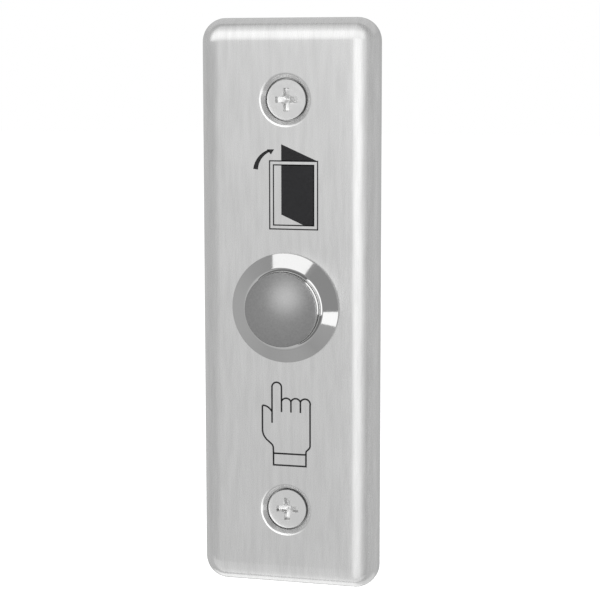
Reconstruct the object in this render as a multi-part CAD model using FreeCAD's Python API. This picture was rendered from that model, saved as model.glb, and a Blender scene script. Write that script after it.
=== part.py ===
"""Door exit button: a narrow pressed stainless plate with a sprung metal push button in a threaded barrel.

The plate is screwed over a hole in a wall or a door frame, and a domed button in its middle closes
one pair of contacts while it is pressed. All sizes are in millimetres.

Frame: X runs to the right and Z up, as seen by someone who faces the plate. Y runs into the wall.
The origin lies in the wall plane, where the plate's folded rim ends, on the button's axis.
Every length along Y is counted from the plate's front face, FACE, towards the wall.
"""

import FreeCAD
import Part
import math
import os

from FreeCAD import Vector

# Face plate: sheet steel drawn into a shallow pan with rolled edges
PLATE_WIDTH = 29.2
PLATE_HEIGHT = 92.0
SHEET = 1.0
EDGE_ROLL = 3.6
RIM_LAND = 0.9

# Mounting screws and the pressed dimples that take their heads
SCREW_SPACING = 66.2
DIMPLE_RADIUS = 4.25
DIMPLE_HOLE_RADIUS = 1.95
HEAD_RADIUS = 3.4
HEAD_LAND = 0.16
SHANK_RADIUS = 1.75
SCREW_LENGTH = 19.0
TIP_LENGTH = 3.6
TIP_POINT_RADIUS = 0.3
RECESS_SPAN = 3.7
RECESS_ARM = 0.95
RECESS_WEB = 0.4
RECESS_DEPTH = 1.5
RECESS_FLOOR = 0.45

# Bezel and barrel of the push button: one turned brass piece, nickel plated
BARREL_RADIUS = 8.0
FLANGE_OVERHANG = 0.8
FLANGE_EDGE = 0.4
LIP_WIDTH = 0.43
LIP_HEIGHT = 1.9
BARREL_CHAMFER = 0.5
HOLE_CLEARANCE = 0.1
WEB_THICKNESS = 2.0
REAR_WALL = 1.5
CRIMP_LENGTH = 0.7
CRIMP_REACH = 0.4

# Push cap: a domed steel cup
CAP_RADIUS = 5.9
CAP_CLEARANCE = 0.17
CAP_WALL = 0.8
CAP_RIM_HEIGHT = 3.1
CAP_RIM_BEVEL = 0.3
CAP_LENGTH = 4.2
CAP_CRIMP = 0.4
DOME_RISE = 1.15
TRAVEL = 2.0
END_GAP = 0.3

# Plunger: moulded nylon, held in the cap
PLUNGER_HEAD_TOP = 0.8
STEM_CLEARANCE = 0.05
FIT_GAP = 0.04
SPRING_POCKET_DEPTH = 2.1
SPRING_POCKET_WALL = 0.45
POST_SIDE = 2.2
STAKE_RADIUS = 1.7
STAKE_HEIGHT = 0.5
STEM_FOOT = 0.6

# Return spring and contact spring: round wire, end turns closed up and ground flat
WIRE = 0.5
SPRING_SIDE_GAP = 0.5
SPRING_TURNS = 5
CONTACT_WIRE = 0.3
CONTACT_SPRING_RADIUS = 1.8
CONTACT_SPRING_TURNS = 4
CONTACT_SPRING_LENGTH = 2.4
CLOSED_TURNS = 0.75
CLOSED_PITCH = 1.1
WIRE_SIDES = 6
STEPS_PER_TURN = 12

# Stem seal, a rubber ring in a groove of the barrel's web
SEAL_CORD = 0.45
SEAL_GAP = 0.04
SEAL_GROOVE_CLEARANCE = 0.05

# Retaining clip, an E ring behind the web
CLIP_THICKNESS = 0.5
CLIP_REACH = 1.6
CLIP_BAND = 1.0
CLIP_GROOVE_DEPTH = 0.6
CLIP_GRIP = 0.3
CLIP_PRONG = 1.5
RUNNING_GAP = 0.05

# Moving contact: a copper strip with a silver tip brazed on near each end
BRIDGE_WIDTH = 4.2
BRIDGE_THICKNESS = 0.5
BRIDGE_END_ROUND = 0.8
TIP_RADIUS = 0.9
TIP_HEIGHT = 0.35
TIP_EDGE = 0.4
CONTACT_GAP = 0.05

# Fixed contacts: bent brass strips that end in the screw terminals
STRIP = 0.6
PAD_WIDTH = 2.6
PAD_EDGE = 0.5
LEG_WALL = 0.56
LEG_GAP = 0.1
TERMINAL_GAP = 0.4
TERMINAL_WIDTH = 5.2
COLLAR_WALL = 0.65
COLLAR_LENGTH = 1.2

# Terminal screws and their square clamp washers
TERMINAL_THREAD_SHARE = 0.6
TERMINAL_SCREW_LENGTH = 3.6
TERMINAL_HEAD_EDGE = 0.1
TERMINAL_HEAD_HEIGHT = 1.6
SLOT_WIDTH = 0.6
SLOT_DEPTH = 0.8
WASHER_GAP = 0.5
WASHER_THICKNESS = 0.5
WASHER_HOLE_GAP = 0.1

# Insulator base: moulded black plastic, crimped into the barrel's rear
BASE_PLUG = 1.5
BASE_BOSS = 2.0
BARRIER_THICKNESS = 1.0
BARRIER_HEIGHT = 3.2
SHROUD_WALL = 0.9
SHROUD_FROM = 4.1
SCREW_POCKET_GAP = 0.15
GUIDE_WALL = 0.8
GUIDE_LENGTH = 3.6
GUIDE_GAP = 0.15
GUIDE_LEAD = 0.2

# Panel nut and toothed lock washer behind the plate
LOCK_BAND = 1.6
LOCK_THICKNESS = 0.6
LOCK_TEETH = 12
LOCK_NOTCH_WIDTH = 1.2
LOCK_NOTCH_DEPTH = 0.7
NUT_WALL = 1.0
NUT_THICKNESS = 2.2
NUT_CHAMFER = 0.5
NUT_GAP = 0.03

# Places along Y, each from the piece that it seats on
PLATE_DEPTH = EDGE_ROLL + RIM_LAND
FACE = -PLATE_DEPTH
PLATE_BACK = FACE + SHEET
CAP_RIM = FACE - CAP_RIM_HEIGHT
CAP_END = CAP_RIM + CAP_LENGTH
HEAD_TOP = CAP_RIM + PLUNGER_HEAD_TOP
HEAD_BOTTOM = CAP_END - CAP_CRIMP
POCKET_TOP = HEAD_BOTTOM - SPRING_POCKET_DEPTH
WEB_FRONT = CAP_END + TRAVEL + END_GAP
WEB_BACK = WEB_FRONT + WEB_THICKNESS
CLIP_FRONT = WEB_BACK + RUNNING_GAP
CLIP_BACK = CLIP_FRONT + CLIP_THICKNESS
FOOT_FACE = CLIP_BACK + STEM_FOOT
BRIDGE_FRONT = FOOT_FACE + CONTACT_SPRING_LENGTH
BRIDGE_BACK = BRIDGE_FRONT + BRIDGE_THICKNESS
MOVING_TIP = BRIDGE_BACK + TIP_HEIGHT
FIXED_TIP = MOVING_TIP + TRAVEL + CONTACT_GAP
PAD_FRONT = FIXED_TIP + TIP_HEIGHT
BASE_FRONT = PAD_FRONT + STRIP
BASE_SHOULDER = BASE_FRONT + BASE_PLUG
BASE_BACK = BASE_SHOULDER + BASE_BOSS
TERMINAL_BACK = BASE_BACK + STRIP
WASHER_BACK = TERMINAL_BACK + WASHER_THICKNESS
BARREL_BACK = BASE_SHOULDER + CRIMP_LENGTH

# Radii that more than one piece shares
CAP_BORE = CAP_RADIUS + CAP_CLEARANCE
CAP_INNER = CAP_RADIUS - CAP_WALL
PLUNGER_RADIUS = CAP_INNER - FIT_GAP
POCKET_RADIUS = PLUNGER_RADIUS - SPRING_POCKET_WALL
SPRING_RADIUS = POCKET_RADIUS - SPRING_SIDE_GAP - WIRE / 2
STEM_RADIUS = SPRING_RADIUS - WIRE / 2 - SPRING_SIDE_GAP
STEM_BORE = STEM_RADIUS + STEM_CLEARANCE
REAR_BORE = BARREL_RADIUS - REAR_WALL
PLUG_RADIUS = REAR_BORE - FIT_GAP
CRIMP_BORE = REAR_BORE - CRIMP_REACH
BOSS_RADIUS = CRIMP_BORE - FIT_GAP
CLIP_SEAT = STEM_RADIUS - CLIP_GROOVE_DEPTH
CLIP_RADIUS = STEM_RADIUS + CLIP_REACH
SEAL_RADIUS = STEM_RADIUS + SEAL_CORD + SEAL_GAP

# Places along X of the contacts and terminals, from the boss inwards
LEG_FACE = BOSS_RADIUS - LEG_WALL
LEG_INNER = LEG_FACE - STRIP
TIP_X = LEG_INNER - TIP_RADIUS - LEG_GAP
BRIDGE_LENGTH = 2 * (TIP_X + TIP_RADIUS + TIP_EDGE)
TERMINAL_INNER = BARRIER_THICKNESS / 2 + TERMINAL_GAP
TERMINAL_SCREW_X = (TERMINAL_INNER + LEG_FACE) / 2
WASHER_SIDE = 2 * (TERMINAL_SCREW_X - BARRIER_THICKNESS / 2 - WASHER_GAP)
TERMINAL_HEAD_RADIUS = WASHER_SIDE / 2 - TERMINAL_HEAD_EDGE
TERMINAL_SCREW_RADIUS = TERMINAL_THREAD_SHARE * TERMINAL_HEAD_RADIUS
COLLAR_RADIUS = TERMINAL_SCREW_RADIUS + COLLAR_WALL

# How far a cutting body runs past the faces that it opens
PAST = 1.0

Y_AXIS = Vector(0, 1, 0)
ORIGIN = Vector(0, 0, 0)


def rounded_wire(corners, place):
    """A closed wire through corners (u, v, radius), each sharp or rounded by a tangent arc."""
    count = len(corners)
    stations = []
    for i, (u, v, radius) in enumerate(corners):
        corner = Vector(u, v, 0)
        before = Vector(*corners[i - 1][:2], 0) - corner
        after = Vector(*corners[(i + 1) % count][:2], 0) - corner
        if radius == 0:
            stations.append((corner, corner, corner))
            continue
        before.normalize()
        after.normalize()
        half = before.getAngle(after) / 2
        bisector = (before + after).normalize()
        reach = radius / math.tan(half)
        centre_distance = radius / math.sin(half)
        middle = corner + bisector * (centre_distance - radius)
        stations.append((corner + before * reach, middle, corner + after * reach))
    edges = []
    for i, (start, middle, end) in enumerate(stations):
        if not start.isEqual(end, 1e-7):
            edges.append(Part.Arc(place(start), place(middle), place(end)).toShape())
        following = stations[(i + 1) % count][0]
        if not end.isEqual(following, 1e-7):
            edges.append(Part.LineSegment(place(end), place(following)).toShape())
    return Part.Wire(edges)


def turned(*corners):
    """A solid of revolution about the button's axis, from corners (radius, y, corner rounding)."""
    wire = rounded_wire([(*c, 0)[:3] for c in corners], lambda p: Vector(p.x, p.y, 0))
    return Part.Face(wire).revolve(ORIGIN, Y_AXIS, 360)


def prism(corners, front, back):
    """An outline in X and Z, of corners (x, z, corner rounding), carried from y front to y back."""
    wire = rounded_wire([(*c, 0)[:3] for c in corners], lambda p: Vector(p.x, front, p.y))
    return Part.Face(wire).extrude(Vector(0, back - front, 0))


def ring_points(radius, sides):
    """The corners of a regular polygon that stands in for a small round section."""
    turns = [2 * math.pi * (i + 0.5) / sides for i in range(sides)]
    return [(radius * math.cos(t), radius * math.sin(t)) for t in turns]


def frustum(front, back):
    """A solid with flat walls between two outlines that have their corners in the same order."""
    walls = [Part.Face(Part.makePolygon(front + front[:1])), Part.Face(Part.makePolygon(back + back[:1]))]
    for i in range(len(front)):
        loop = [front[i - 1], front[i], back[i], back[i - 1], front[i - 1]]
        walls.append(Part.Face(Part.makePolygon(loop)))
    return Part.Solid(Part.Shell(walls))


def slab(width, height, front, back, rounding=0, x=0):
    """A rectangular block centred on (x, 0)."""
    w, h = width / 2, height / 2
    outline = [(x - w, -h, rounding), (x + w, -h, rounding), (x + w, h, rounding), (x - w, h, rounding)]
    return prism(outline, front, back)


def disc(radius, front, back, x=0, z=0):
    """A round bar along Y."""
    return Part.makeCylinder(radius, back - front, Vector(x, front, z), Y_AXIS)


def pan(width, height, front, back, roll):
    """A block with every edge rolled over but those of its open back."""
    block = slab(width, height, front, back)
    return block.makeFillet(roll, [e for e in block.Edges if e.BoundBox.YMin < back - roll])


def moved(shape, x=0, y=0, z=0):
    """A copy of the shape, shifted."""
    copy = shape.copy()
    copy.translate(Vector(x, y, z))
    return copy


def dimple():
    """The pressed seat of a screw head: a 45 degree cone in the sheet."""
    depth = DIMPLE_RADIUS - DIMPLE_HOLE_RADIUS
    wall = SHEET * math.sqrt(2)
    outer = DIMPLE_RADIUS + SHEET
    return turned(
        (outer, FACE),
        (DIMPLE_RADIUS, FACE),
        (DIMPLE_HOLE_RADIUS, FACE + depth),
        (DIMPLE_HOLE_RADIUS + wall, FACE + depth),
        (DIMPLE_RADIUS + wall - SHEET, PLATE_BACK),
        (outer, PLATE_BACK),
    )


def face_plate():
    """One pressed sheet: rolled edges, an open back, the button hole and two dimpled screw holes."""
    width, height = PLATE_WIDTH - 2 * SHEET, PLATE_HEIGHT - 2 * SHEET
    outside = pan(PLATE_WIDTH, PLATE_HEIGHT, FACE, 0, EDGE_ROLL)
    plate = outside.cut(pan(width, height, PLATE_BACK, PAST, EDGE_ROLL - SHEET))
    plate = plate.cut(disc(BARREL_RADIUS + HOLE_CLEARANCE, FACE - PAST, PAST))
    seat = dimple()
    seat_radius = seat.BoundBox.XLength / 2
    for side in (-1, 1):
        z = side * SCREW_SPACING / 2
        plate = plate.cut(disc(seat_radius, FACE - PAST, PAST, z=z))
        plate = plate.fuse(moved(seat, z=z))
    return plate.removeSplitter()


def cross_recess(top):
    """A cross recess with filled-in inner corners, narrowing towards its floor."""

    def outline(y, share):
        long = RECESS_SPAN / 2 * share
        short = RECESS_ARM / 2 * math.sqrt(share)
        knee = short + RECESS_WEB * share
        points = []
        for turn in range(4):
            angle = 90 * turn
            for x, z in [(long, -short), (long, short), (knee, short), (short, knee)]:
                points.append(FreeCAD.Rotation(Y_AXIS, angle).multVec(Vector(x, y, -z)))
        return points

    return frustum(outline(top, 1), outline(top + RECESS_DEPTH, RECESS_FLOOR))


def mounting_screw():
    """A countersunk tapping screw, its head seated in the dimple and its tip ground to a point."""
    seat = FACE + DIMPLE_RADIUS - HEAD_RADIUS
    top = seat - HEAD_LAND
    neck = seat + HEAD_RADIUS - SHANK_RADIUS
    end = top + SCREW_LENGTH
    sink = RUNNING_GAP / 2
    blank = turned(
        (0, top),
        (HEAD_RADIUS - sink, top),
        (HEAD_RADIUS - sink, seat),
        (SHANK_RADIUS, neck - sink),
        (SHANK_RADIUS, end - TIP_LENGTH),
        (TIP_POINT_RADIUS, end),
        (0, end),
    )
    return blank.cut(cross_recess(top))


def mounting_screws():
    """The two like screws, one in each dimple."""
    screw = mounting_screw()
    return Part.makeCompound([moved(screw, z=s * SCREW_SPACING / 2) for s in (1, -1)])


def button_bezel():
    """Bevelled flange, cap bore, web with the stem's guide and seal groove, and threaded barrel."""
    lip = CAP_BORE + LIP_WIDTH
    flange = BARREL_RADIUS + FLANGE_OVERHANG
    shell = turned(
        (CAP_BORE, FACE - LIP_HEIGHT),
        (lip, FACE - LIP_HEIGHT),
        (flange, FACE - FLANGE_EDGE),
        (flange, FACE),
        (BARREL_RADIUS, FACE),
        (BARREL_RADIUS, BARREL_BACK - BARREL_CHAMFER),
        (BARREL_RADIUS - BARREL_CHAMFER, BARREL_BACK),
        (CRIMP_BORE, BARREL_BACK),
        (CRIMP_BORE, BASE_SHOULDER),
        (REAR_BORE, BASE_SHOULDER),
        (REAR_BORE, WEB_BACK),
        (STEM_BORE, WEB_BACK),
        (STEM_BORE, WEB_FRONT),
        (CAP_BORE, WEB_FRONT),
    )
    middle = (WEB_FRONT + WEB_BACK) / 2
    half = SEAL_CORD + SEAL_GROOVE_CLEARANCE
    groove = disc(SEAL_RADIUS + half, middle - half, middle + half)
    return shell.cut(groove)


def lock_washer():
    """Flat spring steel ring between the plate's back and the nut, with teeth on its inner edge."""
    back = PLATE_BACK + LOCK_THICKNESS
    bore = BARREL_RADIUS + HOLE_CLEARANCE / 2
    ring = disc(bore + LOCK_BAND, PLATE_BACK, back).cut(disc(bore, PLATE_BACK - PAST, back + PAST))
    reach = bore + LOCK_NOTCH_DEPTH
    notch = slab(reach, LOCK_NOTCH_WIDTH, PLATE_BACK - PAST, back + PAST, x=reach / 2)
    notches = []
    for i in range(LOCK_TEETH):
        notches.append(notch.rotated(ORIGIN, Y_AXIS, 360 / LOCK_TEETH * i))
    return ring.cut(notches)


def panel_nut():
    """Hexagon nut with its corners turned down on the rear side."""
    front = PLATE_BACK + LOCK_THICKNESS
    back = front + NUT_THICKNESS
    corner = (BARREL_RADIUS + NUT_WALL) / math.cos(math.pi / 6)
    blank = prism(ring_points(corner, 6), front, back)
    crown = turned(
        (0, front),
        (corner, front),
        (corner, back - NUT_CHAMFER),
        (corner - 2 * NUT_CHAMFER, back),
        (0, back),
    )
    return blank.common(crown).cut(disc(BARREL_RADIUS + NUT_GAP, front - PAST, back + PAST))


def stem_seal():
    """Rubber ring of nearly round section that wipes the plunger's stem."""
    middle = (WEB_FRONT + WEB_BACK) / 2
    section = ring_points(SEAL_CORD, WIRE_SIDES)
    return turned(*[(SEAL_RADIUS + u, middle + v) for u, v in section])


def push_cap():
    """Domed cup: a shallow spherical crown, a bevelled rim and a skirt crimped over the plunger."""
    sphere = (CAP_RADIUS**2 + DOME_RISE**2) / (2 * DOME_RISE)
    centre = CAP_RIM - DOME_RISE + sphere
    edge = CAP_RADIUS - CAP_RIM_BEVEL
    shoulder = centre - math.sqrt(sphere**2 - edge**2)
    crown = disc(edge, CAP_RIM - DOME_RISE, shoulder).common(Part.makeSphere(sphere, Vector(0, centre, 0)))
    cup = turned(
        (0, shoulder),
        (edge, shoulder),
        (CAP_RADIUS, CAP_RIM + CAP_RIM_BEVEL),
        (CAP_RADIUS, CAP_END),
        (CAP_INNER - CAP_CRIMP, CAP_END),
        (CAP_INNER - CAP_CRIMP, HEAD_BOTTOM),
        (CAP_INNER, HEAD_BOTTOM),
        (CAP_INNER, HEAD_TOP - FIT_GAP),
        (0, HEAD_TOP - FIT_GAP),
    )
    return cup.fuse(crown).removeSplitter()


def plunger():
    """Head that fills the cap and holds the spring, then the stem, clip groove, post and stake."""
    body = turned(
        (0, HEAD_TOP),
        (PLUNGER_RADIUS, HEAD_TOP),
        (PLUNGER_RADIUS, HEAD_BOTTOM - FIT_GAP),
        (POCKET_RADIUS, HEAD_BOTTOM - FIT_GAP),
        (POCKET_RADIUS, POCKET_TOP),
        (STEM_RADIUS, POCKET_TOP),
        (STEM_RADIUS, CLIP_FRONT - FIT_GAP),
        (CLIP_SEAT, CLIP_FRONT - FIT_GAP),
        (CLIP_SEAT, CLIP_BACK + FIT_GAP),
        (STEM_RADIUS, CLIP_BACK + FIT_GAP),
        (STEM_RADIUS, FOOT_FACE),
        (0, FOOT_FACE),
    )
    post = slab(POST_SIDE, POST_SIDE, FOOT_FACE, BRIDGE_BACK)
    stake = disc(STAKE_RADIUS, BRIDGE_BACK, BRIDGE_BACK + STAKE_HEIGHT)
    return body.fuse([post, stake]).removeSplitter()


def spring(wire, radius, turns, front, back):
    """A coil between two faces: wire sections lofted round the axis, close together at both ends."""
    closed = CLOSED_PITCH * wire
    middle_turns = turns - 2 * CLOSED_TURNS
    pitch = (back - front - 2 * CLOSED_TURNS * closed) / middle_turns
    section = ring_points(wire / 2, WIRE_SIDES)
    sections = []
    for i in range(turns * STEPS_PER_TURN + 1):
        turn = i / STEPS_PER_TURN
        opened = min(max(turn - CLOSED_TURNS, 0), middle_turns)
        y = front + closed * (turn - opened) + pitch * opened
        spin = FreeCAD.Rotation(Y_AXIS, 360 * turn)
        loop = [spin.multVec(Vector(radius + u, y + v, 0)) for u, v in section]
        sections.append(Part.makePolygon(loop + loop[:1]))
    coil = Part.makeLoft(sections, True, True)
    seat = RUNNING_GAP / 2
    return coil.common(disc(radius + wire, front + seat, back - seat))


def return_spring():
    """Compression spring between the plunger's pocket and the web."""
    return spring(WIRE, SPRING_RADIUS, SPRING_TURNS, POCKET_TOP, WEB_FRONT)


def contact_spring():
    """Light spring round the post, which presses the contact bridge against the stake."""
    return spring(
        CONTACT_WIRE,
        CONTACT_SPRING_RADIUS,
        CONTACT_SPRING_TURNS,
        FOOT_FACE,
        BRIDGE_FRONT,
    )


def retaining_clip():
    """E ring: an open band with three prongs that bear on the stem's groove."""
    band = disc(CLIP_RADIUS, CLIP_FRONT, CLIP_BACK)
    band = band.cut(disc(CLIP_RADIUS - CLIP_BAND, CLIP_FRONT - PAST, CLIP_BACK + PAST))
    reach = CLIP_RADIUS - CLIP_BAND / 2
    prongs = [slab(CLIP_PRONG, reach, CLIP_FRONT, CLIP_BACK)]
    prongs[0].translate(Vector(0, 0, reach / 2))
    for angle in (90, -90):
        side = prongs[0].copy()
        side.rotate(ORIGIN, Y_AXIS, angle)
        prongs.append(side)
    clip = band.fuse(prongs)
    mouth = slab(2 * (CLIP_SEAT - CLIP_GRIP), CLIP_RADIUS, CLIP_FRONT - PAST, CLIP_BACK + PAST)
    mouth.translate(Vector(0, 0, -CLIP_RADIUS / 2))
    groove = disc(CLIP_SEAT + FIT_GAP / 2, CLIP_FRONT - PAST, CLIP_BACK + PAST)
    return clip.cut(mouth).cut(groove).removeSplitter()


def contact_bridge():
    """Flat copper strip with rounded ends and a square hole that rides on the plunger's post."""
    strip = slab(BRIDGE_LENGTH, BRIDGE_WIDTH, BRIDGE_FRONT, BRIDGE_BACK, BRIDGE_END_ROUND)
    hole_side = POST_SIDE + 2 * FIT_GAP
    return strip.cut(slab(hole_side, hole_side, BRIDGE_FRONT - PAST, BRIDGE_BACK + PAST))


def moving_tip(side):
    """A round silver tip brazed on the moving strip, facing the base."""
    return disc(TIP_RADIUS, BRIDGE_BACK, MOVING_TIP, x=side * TIP_X)


def fixed_tip(side):
    """A round silver tip brazed on the fixed strip, facing the moving one."""
    return disc(TIP_RADIUS, FIXED_TIP, PAD_FRONT, x=side * TIP_X)


def terminal(side):
    """Strip bent twice: a contact pad, a leg through the base, and the plate under the screw."""
    pad_inner = TIP_X - TIP_RADIUS - PAD_EDGE
    pad = slab(LEG_FACE - pad_inner, PAD_WIDTH, PAD_FRONT, BASE_FRONT, x=(pad_inner + LEG_FACE) / 2)
    leg = slab(STRIP, PAD_WIDTH, PAD_FRONT, TERMINAL_BACK, x=LEG_FACE - STRIP / 2)
    width = LEG_FACE - TERMINAL_INNER
    plate = slab(width, TERMINAL_WIDTH, BASE_BACK, TERMINAL_BACK, x=TERMINAL_INNER + width / 2)
    plate = plate.common(disc(BOSS_RADIUS, BASE_BACK - PAST, TERMINAL_BACK + PAST))
    collar = disc(COLLAR_RADIUS, BASE_BACK - COLLAR_LENGTH, BASE_BACK, x=TERMINAL_SCREW_X)
    strip = pad.fuse([leg, plate, collar])
    screw_hole = TERMINAL_SCREW_RADIUS + FIT_GAP / 2
    strip = strip.cut(disc(screw_hole, BASE_FRONT, TERMINAL_BACK + PAST, x=TERMINAL_SCREW_X))
    strip = strip.removeSplitter()
    return strip if side > 0 else strip.mirror(ORIGIN, Vector(1, 0, 0))


def clamp_washers():
    """The two square washers that press the wires on the terminal plates."""
    washer = slab(WASHER_SIDE, WASHER_SIDE, TERMINAL_BACK, WASHER_BACK)
    hole = TERMINAL_SCREW_RADIUS + WASHER_HOLE_GAP
    washer = washer.cut(disc(hole, TERMINAL_BACK - PAST, WASHER_BACK + PAST))
    return Part.makeCompound([moved(washer, x=s * TERMINAL_SCREW_X) for s in (-1, 1)])


def terminal_screws():
    """The two slotted cheese-head screws that close the terminals."""
    head = WASHER_BACK + TERMINAL_HEAD_HEIGHT
    screw = turned(
        (0, WASHER_BACK - TERMINAL_SCREW_LENGTH),
        (TERMINAL_SCREW_RADIUS, WASHER_BACK - TERMINAL_SCREW_LENGTH),
        (TERMINAL_SCREW_RADIUS, WASHER_BACK),
        (TERMINAL_HEAD_RADIUS, WASHER_BACK),
        (TERMINAL_HEAD_RADIUS, head),
        (0, head),
    )
    slot = slab(SLOT_WIDTH, 3 * TERMINAL_HEAD_RADIUS, head - SLOT_DEPTH, head + PAST)
    screw = screw.cut(slot)
    return Part.makeCompound([moved(screw, x=s * TERMINAL_SCREW_X) for s in (-1, 1)])


def insulator_base():
    """Plug and boss with slots for the strips, screw pockets, a barrier, shrouds and bridge guides."""
    base = turned(
        (0, BASE_FRONT),
        (PLUG_RADIUS, BASE_FRONT),
        (PLUG_RADIUS, BASE_SHOULDER),
        (BOSS_RADIUS, BASE_SHOULDER),
        (BOSS_RADIUS, BASE_BACK),
        (0, BASE_BACK),
    )
    top = BASE_BACK + BARRIER_HEIGHT
    column = disc(BOSS_RADIUS, BASE_BACK, top)
    barrier = slab(BARRIER_THICKNESS, 2 * BOSS_RADIUS, BASE_BACK, top).common(column)
    shroud = column.cut(disc(BOSS_RADIUS - SHROUD_WALL, BASE_BACK - PAST, top + PAST))
    shroud = shroud.cut(slab(2 * BOSS_RADIUS + PAST, 2 * SHROUD_FROM, BASE_BACK - PAST, top + PAST))
    guides = []
    for side in (-1, 1):
        z = side * (BRIDGE_WIDTH / 2 + GUIDE_GAP + GUIDE_WALL / 2)
        guide = slab(GUIDE_LENGTH, GUIDE_WALL, BRIDGE_FRONT - GUIDE_LEAD, BASE_FRONT)
        guides.append(moved(guide, z=z))
    base = base.fuse([barrier, shroud] + guides)
    hidden = COLLAR_LENGTH + FIT_GAP
    pocket_floor = WASHER_BACK - TERMINAL_SCREW_LENGTH - SCREW_POCKET_GAP
    for side in (-1, 1):
        leg = slab(STRIP + FIT_GAP, PAD_WIDTH + FIT_GAP, BASE_FRONT - PAST, BASE_BACK + PAST)
        base = base.cut(moved(leg, x=side * (LEG_FACE - STRIP / 2)))
        x = side * TERMINAL_SCREW_X
        base = base.cut(disc(COLLAR_RADIUS + FIT_GAP, BASE_BACK - hidden, BASE_BACK, x=x))
        base = base.cut(disc(TERMINAL_SCREW_RADIUS + SCREW_POCKET_GAP, pocket_floor, BASE_BACK, x=x))
    return base.removeSplitter()


PIECES = {
    "face_plate": face_plate(),
    "mounting_screws": mounting_screws(),
    "button_bezel": button_bezel(),
    "lock_washer": lock_washer(),
    "panel_nut": panel_nut(),
    "stem_seal": stem_seal(),
    "push_cap": push_cap(),
    "plunger": plunger(),
    "return_spring": return_spring(),
    "retaining_clip": retaining_clip(),
    "contact_spring": contact_spring(),
    "contact_bridge": contact_bridge(),
    "moving_tip_left": moving_tip(-1),
    "moving_tip_right": moving_tip(1),
    "fixed_tip_left": fixed_tip(-1),
    "fixed_tip_right": fixed_tip(1),
    "terminal_left": terminal(-1),
    "terminal_right": terminal(1),
    "clamp_washers": clamp_washers(),
    "terminal_screws": terminal_screws(),
    "insulator_base": insulator_base(),
}

os.makedirs("parts", exist_ok=True)
for name, shape in PIECES.items():
    shape.exportStep(f"parts/{name}.step")
    solids = len(shape.Solids)
    print(f"{name}: {solids} solid(s), valid {shape.isValid()}, {shape.Volume:.1f} mm3")
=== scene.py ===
import bmesh
import bpy
import math
import numpy as np
from mathutils import Matrix, Vector


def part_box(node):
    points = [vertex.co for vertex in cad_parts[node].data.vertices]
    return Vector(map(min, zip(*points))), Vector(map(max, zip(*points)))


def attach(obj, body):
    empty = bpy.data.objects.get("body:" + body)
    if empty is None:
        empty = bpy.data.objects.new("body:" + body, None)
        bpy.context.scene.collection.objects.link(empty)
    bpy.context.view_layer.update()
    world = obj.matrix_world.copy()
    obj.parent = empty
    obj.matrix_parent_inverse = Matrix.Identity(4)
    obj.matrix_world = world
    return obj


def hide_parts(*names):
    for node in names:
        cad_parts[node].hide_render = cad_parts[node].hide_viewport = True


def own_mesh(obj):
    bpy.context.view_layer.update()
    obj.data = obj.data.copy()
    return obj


# The looks of a door exit button, in the order in which it is put together.
# Sizes are in millimetres in the frame of the solids: X right, Y into the wall, Z up.

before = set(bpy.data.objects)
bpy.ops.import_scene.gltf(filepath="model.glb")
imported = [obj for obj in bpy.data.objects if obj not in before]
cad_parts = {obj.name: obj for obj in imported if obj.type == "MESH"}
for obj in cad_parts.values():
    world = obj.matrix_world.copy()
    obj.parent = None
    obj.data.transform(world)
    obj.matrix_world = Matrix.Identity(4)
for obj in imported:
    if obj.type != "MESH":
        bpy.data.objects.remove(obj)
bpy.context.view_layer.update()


# Face plate: one sheet of stainless steel, pressed into a shallow pan, brushed up and down.
# Its edges are rolled back to the wall, and a round hole and two dimples for countersunk heads
# are pressed into it.

MM = 0.001
ARC_STEP = math.radians(5)
SUPPORT = 0.04
SHEET = 1.0
EDGE_ROLL = 3.6
FLAT_CORNER = 0.2
RIM_EDGE = 0.12
HOLE_RADIUS = 8.1
SCREW_Z = 33.1
CELL_Z = SCREW_Z / 2
SEAT_RADIUS = 4.25
DIMPLE_RADIUS = 4.1
DIMPLE_HOLE_RADIUS = 1.95
DIMPLE_ROUND = 0.5
GROOVE_OUTSIDE, GROOVE_INSIDE = 3.42, 3.1
GROOVE_DEPTH = 1.35
UNFOLDED_SIZE = 110.0
STREAK_WIDTH, STREAK_LENGTH = 0.16, 2.8
PLATE_STEEL = (0.765, 0.765, 0.763)
# Painted shade in the dimples: the radius it reaches out to and its dark grey colour.
PAINTED_SHADE_RADIUS = 4.4
PAINTED_SHADE_STEEL = (0.38, 0.38, 0.38)

plate_low, plate_high = (np.array(corner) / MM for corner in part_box("face_plate"))
FACE = plate_low[1]
PLATE_BACK = FACE + SHEET
GROOVE_MOUTH = FACE + DIMPLE_RADIUS - GROOVE_OUTSIDE
FLAT_X = plate_high[0] - EDGE_ROLL
FLAT_Z = plate_high[2] - EDGE_ROLL


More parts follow.
